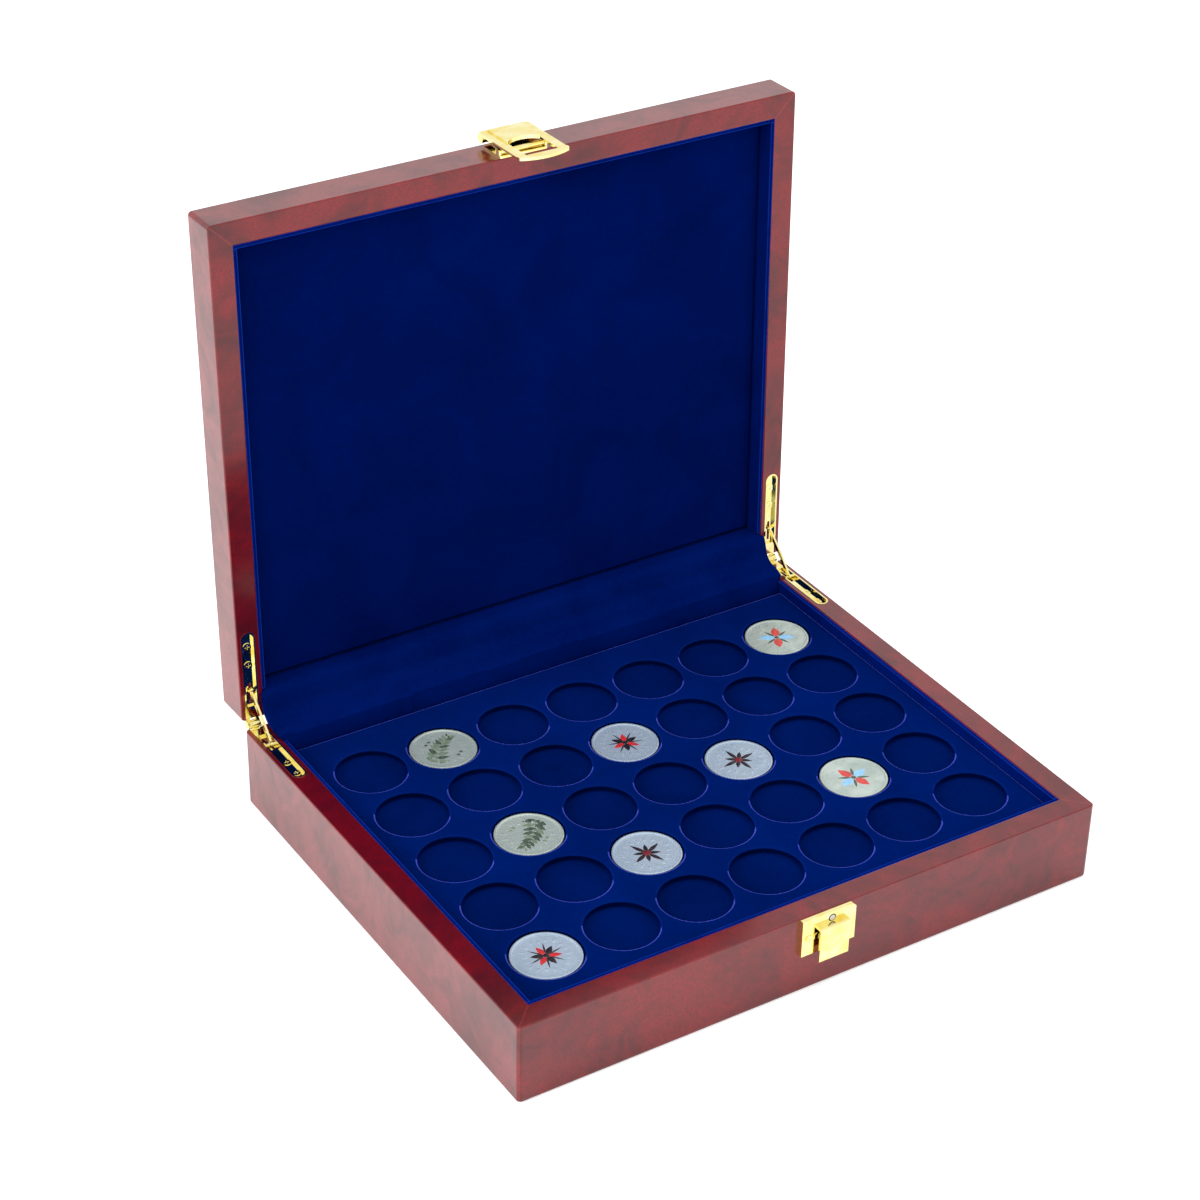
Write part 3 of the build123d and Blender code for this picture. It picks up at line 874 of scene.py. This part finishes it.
            # Low faces take the darker velvet as painted shade.
            face.material_index = int(face.calc_center_median().z < self.valley_shade_reach)
        looks = [self.strip_velvet.make(), self.valley_shade_velvet.make()]
        strip = add_piece("padded_hinge_strip", mesh_from(build, "padded_hinge_strip"), looks)
        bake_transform(strip)
        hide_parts("velvet_hinge_strip")
        LOG.info("built %s", strip.name)
        return strip

    def strip_section(self, path: list[FlatPoint]) -> list[Point]:
        """Lay both sides of the strip along its middle line.

        Args:
            path: Middle line of the strip as (y, z).

        Returns:
            Points round the section as (y, z, share of sway).
        """
        front, back = [], []
        last = len(path) - 1
        for index, (y, z) in enumerate(path):
            before, after = path[max(index - 1, 0)], path[min(index + 1, last)]
            along = Vector((after[0] - before[0], after[1] - before[1])).normalized()
            share = index / last
            fullness = 1 - (2 * share - 1) ** self.strip_end_power
            half = self.strip_thickness / 2 * max(self.strip_thinnest, math.sqrt(fullness))
            front.append((y - half * along.y, z + half * along.x, math.sin(math.pi * share)))
            back.append((y + half * along.y, z - half * along.x, 0.0))
        return front + back[::-1]

    def half_length(self, z: float, y: float) -> float:
        """Measure half of the strip's length, which is more where it crosses the rims.

        Args:
            z: Height of the place.
            y: Place from front to back.

        Returns:
            The half length there.
        """
        in_walls = min(max((y - self.strip_wall_from) / self.strip_step, 0.0), 1.0)
        rise = min(max((z - self.strip_wide_from) / self.strip_step, 0.0), 1.0)
        fall = min(max((self.strip_wide_back - y) / self.strip_step, 0.0), 1.0)
        walls = in_walls * (self.strip_wall_half_length - self.strip_half_length)
        rims = rise * fall * (self.strip_wide_half_length - self.strip_wall_half_length)
        return self.strip_half_length + walls + rims

    def dress(self) -> None:
        """Dress the liner boards."""
        liners = nodes_named("liner_")
        dress_all(liners, self.liner_velvet.make())
        for liner in liners:
            soften_edges(liner, self.liner_edge)


# ---- tray and coins


@dataclass
class PocketTray:
    """Velvet board with its grid of round pockets."""

    velvet: VelvetFinish = VelvetFinish("tray_velvet", linear(0, 17, 70), linear(0, 24, 91))
    # Lighter velvet with full sheen, a painted highlight on the lit side of each pocket's rolled edge.
    edge_highlight_velvet: VelvetFinish = VelvetFinish(
        "pocket_edge_highlight_velvet", linear(50, 60, 158), linear(68, 78, 182),
        sheen_weight=1.0, sheen_roughness=0.25, sheen_tint=linear(110, 110, 255),
    )
    # Dark velvet that paints shade on the pocket walls.
    wall_shade_velvet: VelvetFinish = VelvetFinish("pocket_wall_shade_velvet", linear(0, 4, 34), linear(0, 8, 48))
    floor_velvet: VelvetFinish = VelvetFinish(
        "pocket_velvet", linear(0, 14, 63), linear(0, 21, 83), sheen_weight=0.2
    )
    columns: int = 7
    rows: int = 5
    pitch_x: float = 0.038
    pitch_y: float = 0.039
    centre_y: float = -0.0051
    pocket_radius: float = 0.0168
    half_width: float = 0.1389
    front: float = -0.1114
    back: float = 0.1055
    low: float = 0.0317
    thickness: float = 0.0032
    edge_roll: float = 0.0007
    roll_low: float = 0.35
    roll_high: float = 0.995
    lit_lean: Point = (0.55, 0.83, 0.0)
    least_lean: float = 0.02
    round_steps: int = 72

    def place(self, row: int, column: int) -> FlatPoint:
        """Centre of a pocket, rows from the back and columns from the left."""
        x = (column - (self.columns + 1) / 2) * self.pitch_x
        return x, self.centre_y - (row - (self.rows + 1) / 2) * self.pitch_y

    def build_board(self) -> Piece:
        """Build the covered board with softly rolled pocket edges, a painted highlight on the lit side of
        each roll and painted shade on the pocket walls.

        Returns:
            The board, which rides on the base.
        """
        mesh = self.board_mesh()
        middle = self.low + self.thickness / 2
        mesh.transform(Matrix.Translation((0, 0, middle)))
        for face in mesh.polygons:
            # Rolled faces leaning towards the light get the painted highlight; steep walls get the painted
            # shade.
            if self.roll_low < face.normal.z < self.roll_high and face.center.z > middle:
                face.material_index = int(face.normal.dot(Vector(self.lit_lean)) > self.least_lean)
            elif abs(face.normal.z) < self.roll_low:
                face.material_index = 2
        looks = [self.velvet.make(), self.edge_highlight_velvet.make(), self.wall_shade_velvet.make()]
        board = add_piece("pocket_velvet_board", mesh, looks)
        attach(board, "base")
        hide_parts("tray_hole_board")
        LOG.info("built %s with %d pockets", board.name, self.rows * self.columns)
        return board

    def board_mesh(self) -> Mesh:
        """Fill the board's outline and its pockets from curves with a round bevel.

        Returns:
            The board's mesh, with its middle at height 0.
        """
        curve = bpy.data.curves.new("tray_outline", "CURVE")
        curve.dimensions = "2D"
        curve.fill_mode = "BOTH"
        curve.extrude = self.thickness / 2 - self.edge_roll
        curve.bevel_depth = self.edge_roll
        curve.bevel_resolution = 3
        left, right = -self.half_width + self.edge_roll, self.half_width - self.edge_roll
        front, back = self.front + self.edge_roll, self.back - self.edge_roll
        self.add_loop(curve, [(left, front), (right, front), (right, back), (left, back)])
        reach = self.pocket_radius + self.edge_roll
        turns = [2 * math.pi * step / self.round_steps for step in range(self.round_steps)]
        for row in range(1, self.rows + 1):
            for column in range(1, self.columns + 1):
                x, y = self.place(row, column)
                self.add_loop(curve, [(x + reach * math.cos(a), y + reach * math.sin(a)) for a in turns])
        holder = bpy.data.objects.new("tray_outline", curve)
        bpy.context.scene.collection.objects.link(holder)
        bpy.context.view_layer.update()
        mesh = bpy.data.meshes.new_from_object(holder.evaluated_get(bpy.context.evaluated_depsgraph_get()))
        bpy.data.objects.remove(holder)
        mesh.materials.clear()
        return mesh

    @staticmethod
    def add_loop(curve: bpy.types.Curve, points: Sequence[FlatPoint]) -> None:
        """Add a closed loop of straight steps to a curve.

        Args:
            curve: The curve.
            points: Corners of the loop.
        """
        spline = curve.splines.new("POLY")
        spline.points.add(len(points) - 1)
        for target, (x, y) in zip(spline.points, points):
            target.co = (x, y, 0, 1)
        spline.use_cyclic_u = True

    def dress(self) -> None:
        """Dress the board that shows at the bottom of the pockets."""
        dress_all(["tray_backing_board"], self.floor_velvet.make())


class Motif(Enum):
    """Generic designs struck on the coins."""

    ROSETTE = "rosette"
    COMPASS = "compass"
    SPRIG = "sprig"
    QUATREFOIL = "quatrefoil"


@dataclass(frozen=True)
class Leaf:
    """Outline of one low leaf of a coin's design, in metres."""

    start: float
    length: float
    width: float


@dataclass
class Coin:
    """One struck coin in its pocket."""

    row: int
    column: int
    motif: Motif
    turn: float
    tray: PocketTray
    radius: float = 0.0159
    thickness: float = 0.0026
    low: float = 0.0317
    rim_width: float = 0.0011
    rim_height: float = 0.0003
    edge_round: float = 0.0003
    reed_depth: float = 0.00008
    reeds: int = 120
    sharp_angle: float = 32.0
    leaf_steps: int = 7
    leaf_tip: float = 0.00004
    leaf_ridge: float = 0.00016
    dome_steps: int = 16
    dome_levels: int = 4
    dome_height: float = 0.0002
    sunk: float = 0.00002
    petal: Leaf = Leaf(0.0007, 0.0064, 0.0031)
    stamen: Leaf = Leaf(0.0012, 0.0076, 0.0009)
    rosette_eye: float = 0.0014
    long_point: Leaf = Leaf(0.0005, 0.0088, 0.0023)
    short_point: Leaf = Leaf(0.0005, 0.0060, 0.0023)
    inner_point: Leaf = Leaf(0.0018, 0.0042, 0.0015)
    compass_eye: float = 0.0021
    lobe: Leaf = Leaf(0.0009, 0.0082, 0.0050)
    lobe_vein: Leaf = Leaf(0.0012, 0.0066, 0.0015)
    quatrefoil_eye: float = 0.0012
    stem_foot: FlatPoint = (-0.0096, -0.0060)
    stem_reach: FlatPoint = (0.0172, 0.0094)
    stem_bend: float = 0.0034
    stem_joint: Leaf = Leaf(0.0, 0.0028, 0.0006)
    sprig_pairs: int = 9
    sprig_leaf: float = 0.0070
    berry: float = 0.0009
    berry_ring: float = 0.0086
    berry_angles: tuple[int, ...] = (104, 122, 286, 304)
    wreath_leaves: int = 18
    wreath_leaf: Leaf = Leaf(0.0086, 0.0034, 0.0018)
    wreath_play: float = 0.0008

    @property
    def field(self) -> float:
        """Height of the coin's flat field."""
        return self.thickness - self.rim_height

    def build(self, metal: Material, colours: Sequence[Material]) -> Piece:
        """Build the coin and stand it in for its CAD node.

        Args:
            metal: Finish of the coin's metal.
            colours: The motif's printed colours.

        Returns:
            The coin.
        """
        build = bmesh.new()
        self.add_blank(build)
        self.add_motif(build)
        layer = build.loops.layers.uv.new("coin_face")
        for face in build.faces:
            for loop in face.loops:
                spot = loop.vert.co
                loop[layer].uv = (spot.x / (2 * self.radius) + 0.5, spot.y / (2 * self.radius) + 0.5)
        x, y = self.tray.place(self.row, self.column)
        place = Matrix.Translation((x, y, self.low)) @ Matrix.Rotation(math.radians(self.turn), 4, "Z")
        build.transform(place)
        node = f"coin_r{self.row}_c{self.column}"
        name = f"struck_{node}"
        mesh = mesh_from(build, name, outward=False)
        mesh.set_sharp_from_angle(angle=math.radians(self.sharp_angle))
        coin = add_piece(name, mesh, [metal, *colours])
        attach(coin, node)
        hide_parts(node)
        LOG.info("built %s with a %s", name, self.motif.value)
        return coin

    def add_blank(self, build: BMesh) -> None:
        """Add the round blank with its raised rim and reeded edge.

        Args:
            build: The coin's mesh.
        """
        inner, outer, top, soft = self.radius - self.rim_width, self.radius, self.thickness, self.edge_round
        profile = [
            (inner / 2, self.field), (inner - soft, self.field), (inner, top - soft / 6),
            (inner + soft / 2, top), (outer - soft, top), (outer - soft / 3, top - 0.4 * soft),
            (outer, top - soft), (outer, soft), (outer - soft, 0.0),
        ]
        count = 2 * self.reeds
        rings = []
        for radius, z in profile:
            ring = []
            for step in range(count):
                angle = math.pi * 2 * step / count
                reach = radius - (self.reed_depth if radius == outer and step % 2 else 0.0)
                ring.append(build.verts.new((reach * math.cos(angle), reach * math.sin(angle), z)))
            rings.append(ring)
        skin(build, rings, closed=True, flip=True)
        build.faces.new(rings[0])
        build.faces.new(rings[-1][::-1])

    def add_motif(self, build: BMesh) -> None:
        """Add the raised design on the coin's face.

        Args:
            build: The coin's mesh.
        """
        if self.motif is Motif.ROSETTE:
            for index in range(6):
                self.add_leaf(build, self.petal, index * 60, FIRST_PRINT if index % 2 else SECOND_PRINT)
                self.add_leaf(build, self.stamen, index * 60 + 30, SECOND_PRINT)
            self.add_dome(build, self.rosette_eye, SECOND_PRINT)
        elif self.motif is Motif.COMPASS:
            for index in range(8):
                point = self.short_point if index % 2 else self.long_point
                self.add_leaf(build, point, index * 45, FIRST_PRINT)
            for index in range(4):
                self.add_leaf(build, self.inner_point, index * 90, SECOND_PRINT)
            self.add_dome(build, self.compass_eye, SECOND_PRINT)
        elif self.motif is Motif.SPRIG:
            self.add_sprig(build)
        else:
            for index in range(4):
                self.add_leaf(build, self.lobe, 45 + index * 90, FIRST_PRINT if index % 2 else SECOND_PRINT)
                self.add_leaf(build, self.lobe_vein, index * 90, THIRD_PRINT)
            self.add_dome(build, self.quatrefoil_eye, THIRD_PRINT)
        self.add_wreath(build)

    def add_wreath(self, build: BMesh) -> None:
        """Add fine plain leaves that fill the field round the design.

        Args:
            build: The coin's mesh.
        """
        plain = self.wreath_leaf
        for index in range(self.wreath_leaves):
            more = self.wreath_play * noise.cell(Vector((index, self.row, self.column)))
            leaf = Leaf(plain.start + more, plain.length + more, plain.width)
            self.add_leaf(build, leaf, index * 360 / self.wreath_leaves, METAL)

    def add_sprig(self, build: BMesh) -> None:
        """Add a curved stem with paired leaves and a few berries.

        Args:
            build: The coin's mesh.
        """
        for index in range(self.sprig_pairs):
            share = index / (self.sprig_pairs - 1)
            bend = self.stem_bend * math.sin(share * 2.6)
            x = self.stem_foot[0] + self.stem_reach[0] * share
            y = self.stem_foot[1] + self.stem_reach[1] * share + bend
            size = self.sprig_leaf * (1 - 0.42 * share)
            for side in (-1, 1):
                turn = 32 + side * (62 - 22 * share)
                slot = FIRST_PRINT if (index + side) % 3 else SECOND_PRINT
                self.add_leaf(build, Leaf(0.0, size, size * 0.46), turn, slot, (x, y))
            self.add_leaf(build, self.stem_joint, 30 + 14 * math.cos(share * 2.4), FIRST_PRINT, (x, y))
        for turn in map(math.radians, self.berry_angles):
            place = (self.berry_ring * math.cos(turn), self.berry_ring * math.sin(turn))
            self.add_dome(build, self.berry, SECOND_PRINT, place)

    def add_leaf(
        self, build: BMesh, leaf: Leaf, degrees: float, slot: int, root: FlatPoint = (0.0, 0.0)
    ) -> None:
        """Add one low leaf with a ridge down its middle.

        Args:
            build: The coin's mesh.
            leaf: The leaf's outline, with its start measured from its root.
            degrees: Direction of the leaf.
            slot: Material slot of its faces.
            root: Point that the leaf grows from.
        """
        turn = math.radians(degrees)
        along = Vector((math.cos(turn), math.sin(turn)))
        side = Vector((-along.y, along.x))
        rows = []
        for index in range(self.leaf_steps + 1):
            share = index / self.leaf_steps
            half = leaf.width / 2 * math.sin(math.pi * share ** 0.8) + self.leaf_tip
            ridge = self.leaf_ridge * math.sin(math.pi * share) ** 0.5 if 0 < share < 1 else 0.0
            middle = Vector(root) + along * (leaf.start + leaf.length * share)
            row = []
            for offset, height in ((-half, -self.sunk), (0.0, ridge), (half, -self.sunk)):
                spot = middle + side * offset
                row.append(build.verts.new((spot.x, spot.y, self.field + height)))
            rows.append(row)
        skin(build, rows, slot=slot, flip=True)

    def add_dome(self, build: BMesh, radius: float, slot: int, centre: FlatPoint = (0.0, 0.0)) -> None:
        """Add one low round boss.

        Args:
            build: The coin's mesh.
            radius: Its radius.
            slot: Material slot of its faces.
            centre: Where it stands on the coin.
        """
        turns = [math.pi * 2 * step / self.dome_steps for step in range(self.dome_steps)]
        rings = []
        for level in range(self.dome_levels):
            angle = level / self.dome_levels * math.pi / 2
            reach, z = radius * math.cos(angle), self.field - self.sunk + self.dome_height * math.sin(angle)
            rings.append([
                build.verts.new((centre[0] + reach * math.cos(turn), centre[1] + reach * math.sin(turn), z))
                for turn in turns
            ])
        skin(build, rings, closed=True, slot=slot)
        build.faces.new(rings[-1]).material_index = slot


@dataclass
class CoinSet:
    """The coins that lie in the tray."""

    tray: PocketTray
    silver: CoinFinish = CoinFinish("silver_coin", linear(186, 202, 218), linear(164, 182, 200))
    cream: CoinFinish = CoinFinish("pale_gold_coin", linear(196, 208, 200), linear(172, 186, 180))
    prints: tuple[MarkedFinish, ...] = (
        MarkedFinish("red_print", linear(196, 44, 44), linear(150, 34, 40)),
        MarkedFinish("black_print", linear(16, 14, 18), linear(44, 34, 38)),
        MarkedFinish("maroon_print", linear(120, 30, 36), linear(90, 30, 34)),
        MarkedFinish("olive_print", linear(84, 100, 84), linear(122, 136, 116)),
        MarkedFinish("moss_print", linear(48, 60, 52), linear(84, 98, 82)),
        MarkedFinish("blue_print", linear(112, 170, 214), linear(150, 194, 222)),
        MarkedFinish("coral_print", linear(206, 70, 62), linear(170, 54, 52)),
    )

    def build(self) -> None:
        """Build every coin with its generic motif."""
        silver, cream = self.silver.make(), self.cream.make()
        red, black, maroon, olive, moss, blue, coral = (finish.make() for finish in self.prints)
        looks = [
            (2, 4, Motif.ROSETTE, 12, silver, (red, black)),
            (5, 1, Motif.ROSETTE, 40, silver, (red, black)),
            (3, 5, Motif.COMPASS, 8, silver, (black, maroon)),
            (4, 3, Motif.COMPASS, 24, silver, (black, maroon)),
            (1, 2, Motif.SPRIG, 10, cream, (olive, moss)),
            (3, 2, Motif.SPRIG, 190, cream, (moss, olive)),
            (1, 7, Motif.QUATREFOIL, 20, cream, (blue, coral, moss)),
            (4, 6, Motif.QUATREFOIL, 65, cream, (blue, coral, moss)),
        ]
        for row, column, motif, turn, metal, colours in looks:
            Coin(row, column, motif, turn, self.tray).build(metal, colours)


# ---- fittings


@dataclass
class GiltFittings:
    """Stay hinges, flap latch and catch."""

    finish: MarkedFinish = MarkedFinish(
        "bright_gilt", linear(255, 248, 192), linear(247, 226, 134), metallic=1.0, smears=150.0,
        roughness_low=0.05, roughness_high=0.13, bump=0.06,
    )
    rivet: CoinFinish = CoinFinish(
        "bright_rivet", linear(226, 222, 216), linear(190, 184, 178), metallic=1.0
    )
    thin_edge: float = 0.00012
    sheet_edge: float = 0.0002
    leaf_edge: float = 0.0003

    def dress(self) -> None:
        """Dress every metal node and soften its edges."""
        gilt = nodes_named("hinge_base_", "hinge_lid_", "_stay_", "_hinge_pin", "latch_", "catch_")
        dress_all(gilt, self.finish.make())
        for node in gilt:
            thin = "screws" in node or "pin" in node or "rivet" in node
            plain = self.leaf_edge if "leaf" in node else self.sheet_edge
            soften_edges(node, self.thin_edge if thin else plain)
        dress("catch_rivet", self.rivet.make())


# ---- studio


@dataclass(frozen=True)
class Lamp:
    """One soft square lamp: its place, the length of its side and its power."""

    name: str
    place: Point
    side: float
    watts: float


@dataclass
class Studio:
    """Floor, lamps, sky and camera."""

    eye: Point = (-0.63179, -0.92981, 0.83197)
    target: Point = (0.03754, 0.07505, 0.06)
    roll: float = 0.030
    focal_px: float = 2979.06
    centre_shift_px: FlatPoint = (46.43, 33.35)
    frame_px: float = 1200.0
    sensor: float = 36.0
    nearest: float = 0.05
    farthest: float = 30.0
    sky_light: float = 0.72
    floor_half: float = 4.0
    floor_drop: float = 0.0002
    lamp_aim: Point = (0.0, 0.03, 0.1)
    lamps: tuple[Lamp, ...] = (
        Lamp("key_lamp", (-1.3, -1.2, 1.9), 1.4, 20.0),
        Lamp("side_lamp", (-2.2, 0.3, 0.9), 1.4, 46.0),
        Lamp("top_lamp", (0.5, 0.1, 2.2), 1.6, 18.0),
        Lamp("front_lamp", (0.9, -1.8, 0.8), 1.2, 10.0),
    )

    def build(self) -> None:
        """Build the studio."""
        self.add_camera()
        self.add_floor()
        self.add_sky()
        for lamp in self.lamps:
            self.add_lamp(lamp)
        bpy.context.scene.view_settings.view_transform = "Standard"
        LOG.info("studio ready")

    def add_camera(self) -> None:
        """Stand the camera where the view was fitted."""
        eye, target = Vector(self.eye), Vector(self.target)
        forward = (target - eye).normalized()
        side = forward.cross(Vector((0, 0, 1))).normalized()
        up = side.cross(forward)
        lean = math.cos(self.roll) * side + math.sin(self.roll) * up
        head = -math.sin(self.roll) * side + math.cos(self.roll) * up
        data = bpy.data.cameras.new("view_camera")
        data.sensor_width = self.sensor
        data.lens = self.sensor * self.focal_px / self.frame_px
        data.shift_x = -self.centre_shift_px[0] / self.frame_px
        data.shift_y = self.centre_shift_px[1] / self.frame_px
        data.clip_start, data.clip_end = self.nearest, self.farthest
        camera = bpy.data.objects.new("view_camera", data)
        axes = Matrix((lean, head, -forward)).transposed().to_4x4()
        camera.matrix_world = Matrix.Translation(eye) @ axes
        bpy.context.scene.collection.objects.link(camera)
        bpy.context.scene.camera = camera

    def add_floor(self) -> None:
        """Lay the white floor under the case."""
        build = bmesh.new()
        reach = self.floor_half
        corners = ((-reach, -reach), (reach, -reach), (reach, reach), (-reach, reach))
        build.faces.new([build.verts.new((x, y, -self.floor_drop)) for x, y in corners])
        floor = add_piece("studio_floor", mesh_from(build, "studio_floor"), [StudioFloorFinish().make()])

    def add_sky(self) -> None:
        """Light the room evenly, and show it white to the eye, to gloss and through glass."""
        world = bpy.data.worlds.new("studio_sky")
        bpy.context.scene.world = world
        world.use_nodes = True
        graph = Graph(world.node_tree)
        rays = graph.add("ShaderNodeLightPath").outputs
        seen = graph.math("MAXIMUM", rays["Is Camera Ray"], rays["Is Glossy Ray"])
        seen = graph.math("MAXIMUM", seen, rays["Is Transmission Ray"])
        strength = graph.span(seen, 0.0, 1.0, to_low=self.sky_light)
        graph.fill(graph.found("BACKGROUND"), {"Strength": strength, "Color": WHITE})

    def add_lamp(self, lamp: Lamp) -> None:
        """Hang one lamp that looks at the case and stays out of mirror reflections.

        Args:
            lamp: The lamp.
        """
        data = bpy.data.lights.new(lamp.name, "AREA")
        data.size = lamp.side
        data.energy = lamp.watts
        light = bpy.data.objects.new(lamp.name, data)
        light.location = lamp.place
        aim = Vector(self.lamp_aim) - Vector(lamp.place)
        light.rotation_mode = "QUATERNION"
        light.rotation_quaternion = aim.to_track_quat("-Z", "Y")
        bpy.context.scene.collection.objects.link(light)
        light.visible_glossy = False


def main() -> None:
    """Build and dress the whole case."""
    logging.basicConfig(level=logging.INFO, format="%(message)s")
    WoodenCase().dress()
    lining = VelvetLining()
    lining.dress()
    lining.build_lid_panel()
    lining.build_hinge_strip()
    tray = PocketTray()
    tray.dress()
    tray.build_board()
    CoinSet(tray).build()
    GiltFittings().dress()
    Studio().build()


if __name__ == "__main__":
    main()
